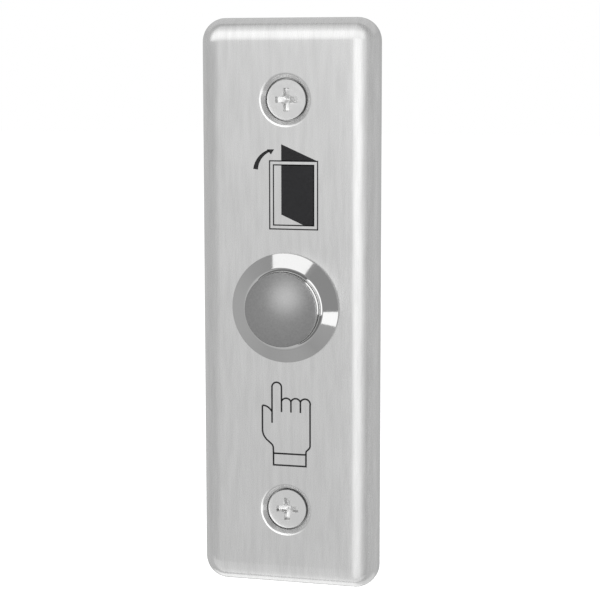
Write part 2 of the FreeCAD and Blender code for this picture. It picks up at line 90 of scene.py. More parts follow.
def rounded(*corners):
    """Points (u, v) along straight lines, whose inner corners (u, v, radius) turn on tangent arcs.

    An arc's centre lies on the corner's bisector, radius / sin(half the corner's angle) away from it.
    A straight line with room for it gets a point close to each arc, so that its shading stays flat.
    """
    ends = [np.array(c[:2], float) for c in corners]
    points = [ends[0]]
    for before, corner, after, spec in zip(ends, ends[1:], ends[2:], corners[1:]):
        radius = spec[2] if len(spec) > 2 else 0
        if radius == 0:
            points.append(corner)
            continue
        back = (before - corner) / np.linalg.norm(before - corner)
        onward = (after - corner) / np.linalg.norm(after - corner)
        half = math.acos(np.clip(back @ onward, -1, 1)) / 2
        bisector = (back + onward) / np.linalg.norm(back + onward)
        centre = corner + bisector * radius / math.sin(half)
        reach = radius / math.tan(half)
        count = max(3, math.ceil((math.pi - 2 * half) / ARC_STEP) + 1)
        turn = np.linspace(half - math.pi / 2, math.pi / 2 - half, count)[:, None]
        side = onward - bisector * (onward @ bisector)
        side /= np.linalg.norm(side)
        arc = centre + radius * (np.sin(turn) * side - np.cos(turn) * bisector)
        room = [np.linalg.norm(end - corner) - reach > SUPPORT for end in (before, after)]
        if room[0]:
            points.append(corner + back * (reach + SUPPORT))
        points.extend(arc)
        if room[1]:
            points.append(corner + onward * (reach + SUPPORT))
    points.append(ends[-1])
    points = np.array(points)
    along = np.linalg.norm(np.diff(points, axis=0), axis=1) > 1e-6
    return points[np.concatenate([[True], along])]


def skin(name, grids, sharp=35, loose=1e-4):
    """One mesh from grids of points (rows, columns, 3), each point joined to the next along both ways.

    Points nearer than loose are merged, so grids join where they meet, seams close and a row that
    shrinks to one point becomes a pole. Edges that turn more than sharp degrees stay crisp.
    """
    points, faces, start = [], [], 0
    for grid in grids:
        rows, columns = grid.shape[:2]
        index = start + np.arange(rows * columns).reshape(rows, columns)
        quads = np.stack([index[:-1, :-1], index[1:, :-1], index[1:, 1:], index[:-1, 1:]], axis=-1)
        points.append(grid.reshape(-1, 3))
        faces.append(quads.reshape(-1, 4))
        start += rows * columns
    mesh = bpy.data.meshes.new(name)
    mesh.from_pydata((np.concatenate(points) * MM).tolist(), [], np.concatenate(faces).tolist())
    work = bmesh.new()
    work.from_mesh(mesh)
    bmesh.ops.remove_doubles(work, verts=work.verts, dist=loose * MM)
    bmesh.ops.dissolve_degenerate(work, edges=work.edges, dist=loose * MM / 10)
    bmesh.ops.recalc_face_normals(work, faces=work.faces)
    work.to_mesh(mesh)
    work.free()
    mesh.shade_smooth()
    mesh.set_sharp_from_angle(angle=math.radians(sharp))
    piece = bpy.data.objects.new(name, mesh)
    bpy.context.scene.collection.objects.link(piece)
    return piece


def cell_grid(loop, centre_z, section):
    """A patch of the plate between its round section and a loop of points (x, z) round it.

    Each point of the loop sends a ray to the centre. Along it lie the front face, then the
    section's points (radius, y) on the ray's bearing, then the back face.
    """
    rays = loop - [0, centre_z]
    length = np.linalg.norm(rays, axis=1)[:, None]
    bearing = rays / length
    share = np.array([1, 0.985, 0.9, 0.6, 0.3, 0.1, 0.02])[:, None, None]

    def flat(radius, y):
        """Rows at one depth, which close in along the rays from the loop to a radius."""
        reach = radius + share * (length - radius)
        place = bearing * reach
        return np.stack([place[..., 0], np.full(place.shape[:2], y), place[..., 1] + centre_z], -1)

    radius, y = section[:, 0, None], section[:, 1, None]
    ring = np.stack([radius * bearing[:, 0], y + 0 * bearing[:, 0], radius * bearing[:, 1] + centre_z], -1)
    return np.concatenate([flat(section[0, 0], FACE), ring, flat(section[-1, 0], PLATE_BACK)[::-1]])


def plate_grids():
    """The pressed sheet: a cell round each hole, and the rolled edge carried round their outline."""
    cross = np.linspace(-FLAT_X, FLAT_X, 33)
    waist = np.linspace(-CELL_Z, CELL_Z, 33)
    flank = np.linspace(CELL_Z, FLAT_Z - FLAT_CORNER, 25)
    top = np.linspace(FLAT_X - FLAT_CORNER, FLAT_CORNER - FLAT_X, 33)
    turn = np.linspace(0, math.pi / 2, 17)

    def column(x, z):
        """Points (x, z), where x or z may be one value for all of them."""
        return np.stack(np.broadcast_arrays(x, z), -1).astype(float)

    corner = FLAT_CORNER * column(np.cos(turn), np.sin(turn))
    corner = corner + [FLAT_X - FLAT_CORNER, FLAT_Z - FLAT_CORNER]
    mirrored = (corner * [-1, 1])[::-1]
    arch = [column(FLAT_X, flank), corner, column(top, FLAT_Z), mirrored, column(-FLAT_X, flank[::-1])]
    end_loop = np.concatenate([column(cross, CELL_Z)] + arch)
    waist_loop = np.concatenate(
        [
            column(FLAT_X, waist),
            column(cross[::-1], CELL_Z),
            column(-FLAT_X, waist[::-1]),
            column(cross, -CELL_Z),
        ]
    )
    fold = SHEET * math.sqrt(2)
    deep = FACE + SEAT_RADIUS - DIMPLE_HOLE_RADIUS
    back_mouth = SEAT_RADIUS + fold - SHEET
    dimple = rounded(
        (DIMPLE_RADIUS + DIMPLE_ROUND / 2, FACE),
        (DIMPLE_RADIUS, FACE, DIMPLE_ROUND),
        (GROOVE_OUTSIDE, GROOVE_MOUTH, 0.06),
        (GROOVE_OUTSIDE, FACE + GROOVE_DEPTH, 0.04),
        (GROOVE_INSIDE, FACE + GROOVE_DEPTH, 0.04),
        (GROOVE_INSIDE, FACE + SEAT_RADIUS - GROOVE_INSIDE),
        (DIMPLE_HOLE_RADIUS, deep, 0.05),
        (DIMPLE_HOLE_RADIUS + fold, deep, 0.05),
        (back_mouth, PLATE_BACK, DIMPLE_ROUND / 2),
        (back_mouth + DIMPLE_ROUND / 2, PLATE_BACK),
    )
    hole = rounded(
        (HOLE_RADIUS + 0.2, FACE),
        (HOLE_RADIUS, FACE, 0.08),
        (HOLE_RADIUS, PLATE_BACK, 0.08),
        (HOLE_RADIUS + 0.2, PLATE_BACK),
    )
    inner = EDGE_ROLL - SHEET
    edge = rounded(
        (0, FACE),
        (EDGE_ROLL, FACE, EDGE_ROLL - 1e-6),
        (EDGE_ROLL, 0, RIM_EDGE),
        (inner, 0, RIM_EDGE),
        (inner, PLATE_BACK, inner - 1e-6),
        (0, PLATE_BACK),
    )
    upper = np.concatenate([column(FLAT_X, waist)] + arch + [column(-FLAT_X, waist[::-1])])
    bearing_upper = np.concatenate(
        [
            np.zeros(len(waist) + len(flank)),
            turn,
            np.full(len(top), math.pi / 2),
            math.pi - turn[::-1],
            np.full(len(flank) + len(waist), math.pi),
        ]
    )
    rolls = []
    for side in (1, -1):
        lean = column(np.cos(bearing_upper), np.sin(bearing_upper))
        place = upper[None] + edge[:, 0, None, None] * lean[None]
        depth = np.broadcast_to(edge[:, 1, None], place.shape[:2])
        rolls.append(np.stack([place[..., 0], depth, side * place[..., 1]], -1))
    upper_cell = cell_grid(end_loop, SCREW_Z, dimple)
    return [cell_grid(waist_loop, 0, hole), upper_cell, upper_cell * [1, 1, -1]] + rolls


def unfold(piece):
    """Lays the pan out flat as a UV map: a point's way from the flat field is measured along the roll.

    On the roll that way is the roll's radius times the angle turned, and past it the depth is added.
    """
    mesh = piece.data
    place = np.empty(len(mesh.vertices) * 3)
    mesh.vertices.foreach_get("co", place)
    x, y, z = place.reshape(-1, 3).T / MM
    field = np.stack([np.clip(x, -FLAT_X, FLAT_X), np.clip(z, -FLAT_Z, FLAT_Z)], -1)
    away = np.stack([x, z], -1) - field
    distance = np.linalg.norm(away, axis=1)
    bearing = away / np.maximum(distance, 1e-9)[:, None]
    depth = y - FACE
    roll = np.arctan2(distance, np.maximum(EDGE_ROLL - depth, 0))
    reach = EDGE_ROLL * roll + np.maximum(depth - EDGE_ROLL, 0) * (distance > 0)
    laid = (field + bearing * reach[:, None]) / UNFOLDED_SIZE + 0.5
    corner = np.empty(len(mesh.loops), int)
    mesh.loops.foreach_get("vertex_index", corner)
    mesh.uv_layers.new(name="unfolded").data.foreach_set("uv", laid[corner].ravel())


def new_finish(name, color, metallic, roughness):
    """A material with one surface shader, whose plain numbers are set on its own sockets."""
    finish = bpy.data.materials.new(name)
    finish.use_nodes = True
    shader = finish.node_tree.nodes["Principled BSDF"]
    shader.inputs["Base Color"].default_value = (*color, 1)
    shader.inputs["Metallic"].default_value = metallic
    shader.inputs["Roughness"].default_value = roughness
    return finish, shader


def node(finish, kind, inputs=(), **settings):
    """A shader node in the finish; inputs pairs a socket's name or number with a value or an output."""
    made = finish.node_tree.nodes.new("ShaderNode" + kind)
    for name, value in settings.items():
        setattr(made, name, value)
    for socket, value in dict(inputs).items():
        if isinstance(value, bpy.types.NodeSocket):
            finish.node_tree.links.new(value, made.inputs[socket])
        else:
            made.inputs[socket].default_value = value
    return made


def feed(finish, output, shader, socket):
    """Joins an output to a socket of the shader."""
    finish.node_tree.links.new(output, shader.inputs[socket])


def stretched_noise(finish, coordinates, scale, detail=2.0, roughness=0.5):
    """Noise whose grains are one over scale wide, with its own scale along each axis."""
    mapping = node(finish, "Mapping", {"Vector": coordinates, "Scale": scale})
    noise = node(
        finish,
        "TexNoise",
        {"Vector": mapping.outputs[0], "Scale": 1.0, "Detail": detail, "Roughness": roughness},
    )
    return noise.outputs[0]


def spread(finish, value, low, high, start=0.3, end=0.7):
    """Maps a noise value between start and end to the range from low to high."""
    ranged = node(
        finish,
        "MapRange",
        {"Value": value, "From Min": start, "From Max": end, "To Min": low, "To Max": high},
    )
    return ranged.outputs[0]


def tinted(finish, value, dark, light):
    """A colour between dark and light, by a value from 0 to 1."""
    mixed = node(finish, "Mix", data_type="RGBA")
    finish.node_tree.links.new(value, mixed.inputs[0])
    mixed.inputs[6].default_value = (*dark, 1)
    mixed.inputs[7].default_value = (*light, 1)
    return mixed.outputs[2]


def brushed_plate():
    """Stainless sheet, brushed along Z: fine streaks in colour, gloss and height.

    The dimples' walls and the grooves round the heads are mixed towards a dark grey base colour: painted
    shade in these recesses.
    """
    finish, shader = new_finish("brushed_plate", PLATE_STEEL, 1.0, 0.25)
    shader.inputs["Anisotropic"].default_value = 0.65
    laid = node(finish, "UVMap", uv_map="unfolded").outputs[0]
    across, along = UNFOLDED_SIZE / STREAK_WIDTH, UNFOLDED_SIZE / STREAK_LENGTH
    hair = stretched_noise(finish, laid, (across, along, 1), 3.0, 0.6)
    band = stretched_noise(finish, laid, (across / 6, along / 3, 1), 2.0, 0.5)
    both = node(finish, "Math", {0: hair, 1: band}, operation="ADD").outputs[0]
    shade = spread(finish, both, 0.0, 1.0, 0.75, 1.25)
    light = tuple(c * 1.055 for c in PLATE_STEEL)
    dark = tuple(c * 0.94 for c in PLATE_STEEL)
    place = node(finish, "TexCoord").outputs["Object"]
    across_plate, depth, up_plate = node(finish, "SeparateXYZ", {0: place}).outputs
    height = node(finish, "Math", {0: up_plate}, operation="ABSOLUTE").outputs[0]
    above = node(finish, "Math", {0: height, 1: SCREW_Z * MM}, operation="SUBTRACT").outputs[0]
    aside = node(finish, "CombineXYZ", {0: across_plate, 1: above}).outputs[0]
    radius = node(finish, "VectorMath", {0: aside}, operation="LENGTH").outputs["Value"]
    # Painted shade: within each dimple the wall and the groove round the head are darkened in base colour.
    in_dimple = spread(finish, radius, 1.0, 0.0, PAINTED_SHADE_RADIUS * MM, (PAINTED_SHADE_RADIUS + 0.1) * MM)
    wall_shade = spread(finish, depth, 0.0, 0.4, (FACE + 0.1) * MM, (FACE + 0.6) * MM)
    groove_shade = spread(finish, depth, 0.0, 0.35, GROOVE_MOUTH * MM, (GROOVE_MOUTH + 0.1) * MM)
    painted_shade = node(finish, "Math", {0: wall_shade, 1: groove_shade}, operation="ADD").outputs[0]
    painted_shade = node(finish, "Math", {0: painted_shade, 1: in_dimple}, operation="MULTIPLY").outputs[0]
    steel = tinted(finish, shade, dark, light)
    painted_shade_colour = node(finish, "Mix", {0: painted_shade, 6: steel, 7: (*PAINTED_SHADE_STEEL, 1)}, data_type="RGBA")
    feed(finish, painted_shade_colour.outputs[2], shader, "Base Color")
    feed(finish, spread(finish, hair, 0.22, 0.29), shader, "Roughness")
    bump = node(finish, "Bump", {"Strength": 0.25, "Distance": 0.006 * MM, "Height": hair})
    feed(finish, bump.outputs[0], shader, "Normal")
    tangent = node(finish, "Tangent", direction_type="UV_MAP", uv_map="unfolded")
    feed(finish, tangent.outputs[0], shader, "Tangent")
    return finish


def settle(piece, finish, body, slot, *nodes):
    """Gives a piece its finish and its body, and hides the nodes that it stands for; slot is not used."""
    piece.data.materials.append(finish)
    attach(piece, body)
    if nodes:
        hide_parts(*nodes)


pressed_plate = skin("pressed_plate", plate_grids())
unfold(pressed_plate)
settle(pressed_plate, brushed_plate(), "housing", "brushed_plate", "face_plate")


# Signs: an open door with a turning arrow above the button and a pointing hand below it.
# They are screen printed on the plate in dark grey ink, about a hundredth of a millimetre thick.

INK_HEIGHT = 0.012
INK_SUNK = 0.01
INK = (0.016, 0.016, 0.017)
FRAME_LINE = 0.2
FRAME_LEFT, FRAME_RIGHT = -2.6, 5.28
FRAME_BOTTOM, FRAME_TOP = 12.62, 23.45
JAMB = 0.63
LEAF_EDGE = -0.68
LEAF_PEAK = 26.1
LEAF_FOOT = 14.93
LEAF_SLOPE = (LEAF_PEAK - FRAME_TOP) / (FRAME_RIGHT - LEAF_EDGE)
ARROW_CENTRE = (-1.4, 21.75)
ARROW_RADIUS = 3.53
ARROW_TAIL_WIDTH = 0.8
ARROW_NECK_WIDTH = 0.4
ARROW_HEAD_TOP = ((-3.04, 25.26), (-2.44, 25.27), (-1.86, 25.28))
ARROW_HEAD_FOOT = ((-2.36, 24.46), (-2.11, 24.87), (-1.85, 25.26))
HAND_LINE = 0.27
FINGER_LEFT, FINGER_RIGHT = -2.33, -0.74
FINGER_TIP = -12.16
FINGER_ROOT = -18.83
KNUCKLE_RADIUS = 0.86
KNUCKLE_Z = -15.56
KNUCKLE_STEP = 1.58
FOLD_TOP, FOLD_FOOT = -15.2, -17.0
HAND_RIGHT = 4.03
THUMB_LEFT, THUMB_TOP = -3.95, -16.05
CUFF_LEFT, CUFF_RIGHT = -2.1, 3.34
CUFF_TOP, CUFF_BOTTOM = -23.83, -25.75


def ink_block(left, right):
    """Ink between two lines of points (x, z): a strip with a flat top and walls into the steel."""
    top, bottom = FACE - INK_HEIGHT, FACE + INK_SUNK

    def at(line, y):
        """The line's points at one depth."""
        return np.stack([line[:, 0], np.full(len(line), y), line[:, 1]], -1)

    ring = np.stack([at(left, top), at(right, top), at(right, bottom), at(left, bottom), at(left, top)], 1)
    first = np.stack([ring[0, [0, 1]], ring[0, [3, 2]]])
    last = np.stack([ring[-1, [0, 1]], ring[-1, [3, 2]]])
    return [ring, first, last]


def stroke(path, width, closed=False):
    """A drawn line: the path is set off to both sides by half its width, mitred where it turns."""
    path = np.array(path, float)
    if closed:
        path = np.concatenate([path, path[:1]])
    step = np.diff(path, axis=0)
    step /= np.linalg.norm(step, axis=1)[:, None]
    before = np.concatenate([step[-1:] if closed else step[:1], step])
    after = np.concatenate([step, step[:1] if closed else step[-1:]])
    middle = before + after
    middle /= np.linalg.norm(middle, axis=1)[:, None]
    normal = np.stack([-middle[:, 1], middle[:, 0]], -1)
    stretch = 1 / np.maximum(np.sum(middle * after, axis=1), 0.5)
    offset = normal * (stretch * np.broadcast_to(width, len(path)) / 2)[:, None]
    return ink_block(path + offset, path - offset)


def bow(centre, radius, start, end, count=16):
    """Points on an arc about a centre, from start to end degrees."""
    turn = np.radians(np.linspace(start, end, count))
    return np.array(centre) + radius * np.stack([np.cos(turn), np.sin(turn)], -1)


def ink():
    """Screen ink: nearly black, with a slight unevenness."""
    finish, shader = new_finish("sign_ink", INK, 0.0, 0.5)
    shader.inputs["Specular IOR Level"].default_value = 0.12
    place = node(finish, "TexCoord").outputs["Object"]
    uneven = stretched_noise(finish, place, (3 / MM,) * 3, 3.0)
    colour = tinted(finish, uneven, [c * 0.75 for c in INK], [c * 1.3 for c in INK])
    feed(finish, colour, shader, "Base Color")
    feed(finish, spread(finish, uneven, 0.38, 0.55), shader, "Roughness")
    return finish


def door_grids():
    """Frame of two outlines, the leaf seen through and above it, and the arrow's tapering bow."""
    left, right, low, high = FRAME_LEFT, FRAME_RIGHT, FRAME_BOTTOM, FRAME_TOP
    outside = stroke([(left, low), (right, low), (right, high), (left, high)], FRAME_LINE, True)
    inset = [(left + JAMB, low + JAMB), (right - JAMB, low + JAMB)]
    inset += [(right - JAMB, high - JAMB), (left + JAMB, high - JAMB)]
    inside = stroke(inset, FRAME_LINE, True)
    above = ink_block(
        np.array([(LEAF_EDGE, LEAF_PEAK), (right, high + 0.02)]),
        np.array([(LEAF_EDGE, high), (right, high)]),
    )
    cut = LEAF_EDGE + (LEAF_FOOT - low - JAMB) / LEAF_SLOPE
    leaf = ink_block(
        np.array([(LEAF_EDGE, high - JAMB), (cut, high - JAMB), (right - JAMB, high - JAMB)]),
        np.array([(LEAF_EDGE, LEAF_FOOT), (cut, low + JAMB), (right - JAMB, low + JAMB)]),
    )
    path = bow(ARROW_CENTRE, ARROW_RADIUS, 174.5, 112, 20)
    width = np.linspace(ARROW_TAIL_WIDTH, ARROW_NECK_WIDTH, len(path))
    shaft = stroke(path, width)
    head = ink_block(np.array(ARROW_HEAD_TOP), np.array(ARROW_HEAD_FOOT))
    return outside + inside + above + leaf + shaft + head


def hand_grids():
    """Outline of a hand that points up: finger, thumb, palm, three folded fingers and a cuff."""
    middle = (FINGER_LEFT + FINGER_RIGHT) / 2
    half = (FINGER_RIGHT - FINGER_LEFT) / 2
    tip = bow((middle, FINGER_TIP - half), half, 180, 0, 25)
    finger = np.concatenate([[(FINGER_LEFT, FINGER_ROOT)], tip, [(FINGER_RIGHT, FOLD_FOOT)]])
    knuckles = []
    first = FINGER_RIGHT + KNUCKLE_STEP / 2
    for i in range(3):
        centre = (first + i * KNUCKLE_STEP, KNUCKLE_Z)
        knuckles.append(bow(centre, KNUCKLE_RADIUS, 157 if i == 0 else 152, 28 if i < 2 else 0, 20))
    wrist = rounded(
        (HAND_RIGHT, KNUCKLE_Z - 0.1),
        (HAND_RIGHT, -22.65, 0.8),
        (CUFF_RIGHT, -23.3, 0.45),
        (CUFF_RIGHT, CUFF_TOP),
    )
    outline = np.concatenate(knuckles + [wrist])
    thumb = rounded(
        (THUMB_LEFT, THUMB_TOP),
        (THUMB_LEFT, -21.0, 2.3),
        (CUFF_LEFT - 0.05, -22.55, 0.9),
        (CUFF_LEFT, CUFF_TOP),
    )
    thumb_top = rounded((THUMB_LEFT, THUMB_TOP + 0.02), (-3.05, THUMB_TOP, 1.6), (FINGER_LEFT, FOLD_FOOT))
    cuff = [(CUFF_LEFT, CUFF_TOP), (CUFF_RIGHT, CUFF_TOP)]
    cuff += [(CUFF_RIGHT, CUFF_BOTTOM), (CUFF_LEFT, CUFF_BOTTOM)]
    grids = stroke(finger, HAND_LINE) + stroke(outline, HAND_LINE) + stroke(thumb, HAND_LINE)
    grids += stroke(thumb_top, HAND_LINE) + stroke(cuff, HAND_LINE, True)
    for i in (1, 2):
        x = FINGER_RIGHT + i * KNUCKLE_STEP
        grids += stroke([(x, FOLD_TOP), (x, FOLD_FOOT)], HAND_LINE)
    return grids


sign_ink = ink()
for sign, grids in (("door_sign", door_grids()), ("hand_sign", hand_grids())):
    settle(skin(sign, grids), sign_ink, "housing", "brushed_plate")


# Bezel and barrel: turned from one brass bar, nickel plated and polished on its bevelled front.
# The barrel behind it carries a fine thread for the panel nut, and a web inside guides the plunger.

FLANGE_RADIUS = 8.8
FLANGE_EDGE = 0.4
LIP_RADIUS = 6.5
LIP_HEIGHT = 1.9
CAP_BORE = 6.0
BARREL_RADIUS = 8.0
BARREL_CHAMFER = 0.5
BARREL_PITCH = 0.75
BARREL_THREAD_DEPTH = 0.4
REAR_BORE = 6.5
CRIMP_BORE = 6.1
CRIMP_LENGTH = 0.7
STEM_BORE = 3.16
LIP_ROUND = 0.8
LIP_EDGE = 0.06
WEB_DEPTH = 3.4
WEB_THICKNESS = 2.0
NICKEL = (0.6, 0.6, 0.598)

barrel_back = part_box("button_bezel")[1].y / MM


def around(count):
    """Angles once round, with the first one repeated at the end."""
    return np.linspace(0, 2 * math.pi, count + 1)


def lathe(section, count=160):
    """A section (radius, y) turned about the button's axis: one column of points for each angle."""
    turn = around(count)
    radius, y = section[:, 0, None], section[:, 1, None]
    return np.stack([radius * np.cos(turn), y + 0 * turn, radius * np.sin(turn)], -1)


def thread(crest, root, pitch, start, end, count=96, steps=8):
    """A helical ridge: rows follow the helix, and the radius rises from root to crest in each pitch.

    crest is a function of y, so that a tip can taper. Near both ends the ridge runs out to the root,
    where rows pass the end and merge into its circle.
    """
    turn = around(count)
    rows = np.arange(math.ceil((end - start) / pitch + 1) * steps + 1)
    phase = rows % steps / steps
    ridge = np.clip(1.35 - np.abs(phase - 0.5) * 4.2, 0, 1)[:, None]
    y = start - pitch + pitch * (rows[:, None] / steps + turn / (2 * math.pi))
    y = np.clip(y, start, end)
    runout = np.clip((y - start) / pitch, 0, 1) * np.clip((end - y) / pitch, 0, 1)
    top, low = crest(y), root(y)
    radius = low + (top - low) * ridge * np.sqrt(runout)
    return np.stack([radius * np.cos(turn), y, radius * np.sin(turn)], -1)


def bezel_grids():
    """The bevelled flange, the bore with its web, and the threaded barrel outside."""
    lip = FACE - LIP_HEIGHT
    web_front = FACE + WEB_DEPTH
    web_back = web_front + WEB_THICKNESS
    shoulder = barrel_back - CRIMP_LENGTH
    neck = BARREL_RADIUS - BARREL_THREAD_DEPTH
    inside = rounded(
        (neck, barrel_back),
        (CRIMP_BORE, barrel_back, 0.08),
        (CRIMP_BORE, shoulder),
        (REAR_BORE, shoulder),
        (REAR_BORE, web_back, 0.1),
        (STEM_BORE, web_back, 0.1),
        (STEM_BORE, web_front, 0.1),
        (CAP_BORE, web_front, 0.1),
        (CAP_BORE, lip, LIP_EDGE),
        (LIP_RADIUS, lip, LIP_ROUND),
        (FLANGE_RADIUS, FACE - FLANGE_EDGE, 0.06),
        (FLANGE_RADIUS, FACE),
        (BARREL_RADIUS, FACE),
        (BARREL_RADIUS, PLATE_BACK),
        (neck, PLATE_BACK),
    )
    ridge = thread(
        lambda y: np.minimum(BARREL_RADIUS, BARREL_RADIUS - BARREL_CHAMFER + (barrel_back - y)),
        lambda y: neck + 0 * y,
        BARREL_PITCH,
        PLATE_BACK,
        barrel_back,
        128,
        6,
    )
    return [lathe(inside, 256), ridge]


def polished_bezel():
    """Bright nickel: nearly a mirror, with the faintest turning marks round its axis."""
    finish, shader = new_finish("polished_bezel", NICKEL, 1.0, 0.07)
    place = node(finish, "TexCoord").outputs["Object"]
    parts = node(finish, "SeparateXYZ", {0: place}).outputs
    flat = node(finish, "CombineXYZ", {0: parts[0], 1: parts[2]}).outputs[0]
    radius = node(finish, "VectorMath", {0: flat}, operation="LENGTH").outputs["Value"]
    rings = node(finish, "CombineXYZ", {0: radius, 1: parts[1]}).outputs[0]
    marks = stretched_noise(finish, rings, (9 / MM, 9 / MM, 1), 2.0)
    cloud = stretched_noise(finish, place, (4 / MM,) * 3, 4.0, 0.7)
    feed(finish, spread(finish, marks, 0.05, 0.1), shader, "Roughness")
    light = tuple(c * 1.05 for c in NICKEL)
    dark = tuple(c * 0.94 for c in NICKEL)
    feed(finish, tinted(finish, cloud, dark, light), shader, "Base Color")
    return finish


bezel = skin("bezel_and_barrel", bezel_grids())
settle(bezel, polished_bezel(), "housing", "polished_bezel", "button_bezel")


# Push cap: a steel cup pressed with a shallow dome, bead blasted on top and polished on its side.
# Its skirt is crimped over the nylon plunger, and it slides in the bezel's bore.

CAP_RADIUS = 5.97
CAP_WALL = 0.8
CAP_RIM_HEIGHT = 3.1
CAP_RIM_ROUND = 0.35
CAP_LENGTH = 4.2
CAP_CRIMP = 0.4
CAP_CEILING = 0.76
DOME_RISE = 1.15
CAP_STEEL = (0.402, 0.402, 0.402)
# The side's base colour is partly polish and partly a painted highlight along the cap's rim.
CAP_SIDE_POLISH_AND_SHEEN = (0.93, 0.93, 0.925)


def cap_grid():
    """Spherical crown, rounded rim, side and crimped skirt round a flat-topped hollow.

    The sphere's radius follows from the cap's radius and rise: (radius squared + rise squared) / 2 rise.
    The rim's arc touches the sphere from inside, and its centre lies inset from the side by its radius.
    """
    rim = FACE - CAP_RIM_HEIGHT
    back = rim + CAP_LENGTH
    sphere = (CAP_RADIUS**2 + DOME_RISE**2) / (2 * DOME_RISE)
    centre = rim - DOME_RISE + sphere
    edge = math.asin(CAP_RADIUS / sphere)
    fillet_turn = math.radians(90) - edge
    inset = CAP_RADIUS - CAP_RIM_ROUND
    middle_y = centre - math.sqrt((sphere - CAP_RIM_ROUND) ** 2 - inset**2)
    meet = math.atan2(inset, centre - middle_y)
    crown = np.linspace(0, meet, 40)
    crown = np.stack([sphere * np.sin(crown), centre - sphere * np.cos(crown)], -1)
    fillet = np.linspace(meet, math.pi / 2, max(4, round(math.degrees(fillet_turn) / 6)))
    fillet = [inset + CAP_RIM_ROUND * np.sin(fillet), middle_y - CAP_RIM_ROUND * np.cos(fillet)]
    fillet = np.stack(fillet, -1)
    hollow = CAP_RADIUS - CAP_WALL
    skirt = rounded(
        (CAP_RADIUS, middle_y + SUPPORT),
        (CAP_RADIUS, back, 0.12),
        (hollow - CAP_CRIMP, back, 0.06),
        (hollow - CAP_CRIMP, back - CAP_CRIMP),
        (hollow, back - CAP_CRIMP),
        (hollow, rim + CAP_CEILING, 0.1),
        (0, rim + CAP_CEILING),
    )
    return lathe(np.concatenate([crown, fillet, skirt]), 192)


def satin_cap():
    """Bead blasted steel on the dome, polished below the rim's rounding, where a much lighter base colour
    also paints in a highlight.
    """
    finish, shader = new_finish("satin_cap", CAP_STEEL, 1.0, 0.38)
    place = node(finish, "TexCoord").outputs["Object"]
    parts = node(finish, "SeparateXYZ", {0: place}).outputs
    rim = (FACE - CAP_RIM_HEIGHT) * MM
    polished = node(
        finish,
        "MapRange",
        {"Value": parts[1], "From Min": rim, "From Max": rim + 0.25 * MM},
        interpolation_type="SMOOTHSTEP",
    ).outputs[0]
    grain = spread(finish, stretched_noise(finish, place, (3.6 / MM,) * 3, 3.0, 0.7), 0.0, 1.0, 0.36, 0.64)
    blasted = spread(finish, grain, 0.44, 0.54, 0.0, 1.0)
    gloss = node(finish, "Mix", {0: polished, 2: blasted, 3: 0.15}, data_type="FLOAT").outputs[0]
    feed(finish, gloss, shader, "Roughness")
    matt = tinted(finish, grain, [c * 0.91 for c in CAP_STEEL], [c * 1.09 for c in CAP_STEEL])
    # Below the rim the colour turns to the side's much lighter one: polish and a painted highlight.
    colour = node(finish, "Mix", {0: polished, 6: matt, 7: (*CAP_SIDE_POLISH_AND_SHEEN, 1)}, data_type="RGBA").outputs[2]
    feed(finish, colour, shader, "Base Color")
    rough = node(finish, "Mix", {0: polished, 2: grain, 3: 0.5}, data_type="FLOAT").outputs[0]
    bump = node(finish, "Bump", {"Strength": 0.25, "Distance": 0.01 * MM, "Height": rough})
    feed(finish, bump.outputs[0], shader, "Normal")
    return finish


settle(skin("domed_cap", [cap_grid()]), satin_cap(), "button", "satin_cap", "push_cap")


# Works inside the barrel: nylon plunger, rubber seal, springs, clip, copper bridge and silver tips.
# The return spring is wound here from round wire at one length, that of the solid's spring; in use
# it flattens as the cap goes in. The other pieces keep the solids' shapes and only get their finishes.

RETURN_WIRE = 0.5
RETURN_TURNS = 5
END_TURNS = 0.75


def coil_grid(radius, wire, turns, front, back):
    """Round wire wound round the button's axis between two faces, its end turns ground flat.

    Its centre climbs 1.1 wires a turn over the end turns and evenly between them, and a circle of
    wire stands on it in the plane of the axis. It closes to a point at both ends.
    """
    turn = np.linspace(0, turns, turns * 36 + 1)
    turn = np.concatenate([turn[:1], turn, turn[-1:]])[:, None]
    thick = np.full(turn.shape, wire / 2)
    thick[[0, -1]] = 0
    closed = 1.1 * wire
    opened = np.clip(turn - END_TURNS, 0, turns - 2 * END_TURNS)
    climb = (back - front - 2 * END_TURNS * closed) / (turns - 2 * END_TURNS)
    section = around(14)
    reach = radius + thick * np.cos(section)
    y = np.clip(front + closed * (turn - opened) + climb * opened + thick * np.sin(section), front, back)
    angle = -2 * math.pi * turn
    return np.stack([reach * np.cos(angle), y, reach * np.sin(angle)], -1)


def speckled(name, color, metallic, roughness, grain, contrast=0.06, bump=0.1):
    """A finish whose colour, gloss and height vary with noise; grain is its size in millimetres."""
    finish, shader = new_finish(name, color, metallic, roughness)
    place = node(finish, "TexCoord").outputs["Object"]
    noise = stretched_noise(finish, place, (1 / (grain * MM),) * 3, 3.0)
    dark = [c * (1 - contrast) for c in color]
    light = [min(c * (1 + contrast), 1) for c in color]
    feed(finish, tinted(finish, noise, dark, light), shader, "Base Color")
    feed(finish, spread(finish, noise, roughness * 0.85, roughness * 1.15), shader, "Roughness")
    relief = node(finish, "Bump", {"Strength": bump, "Distance": 0.01 * MM, "Height": noise})
    feed(finish, relief.outputs[0], shader, "Normal")
    return finish


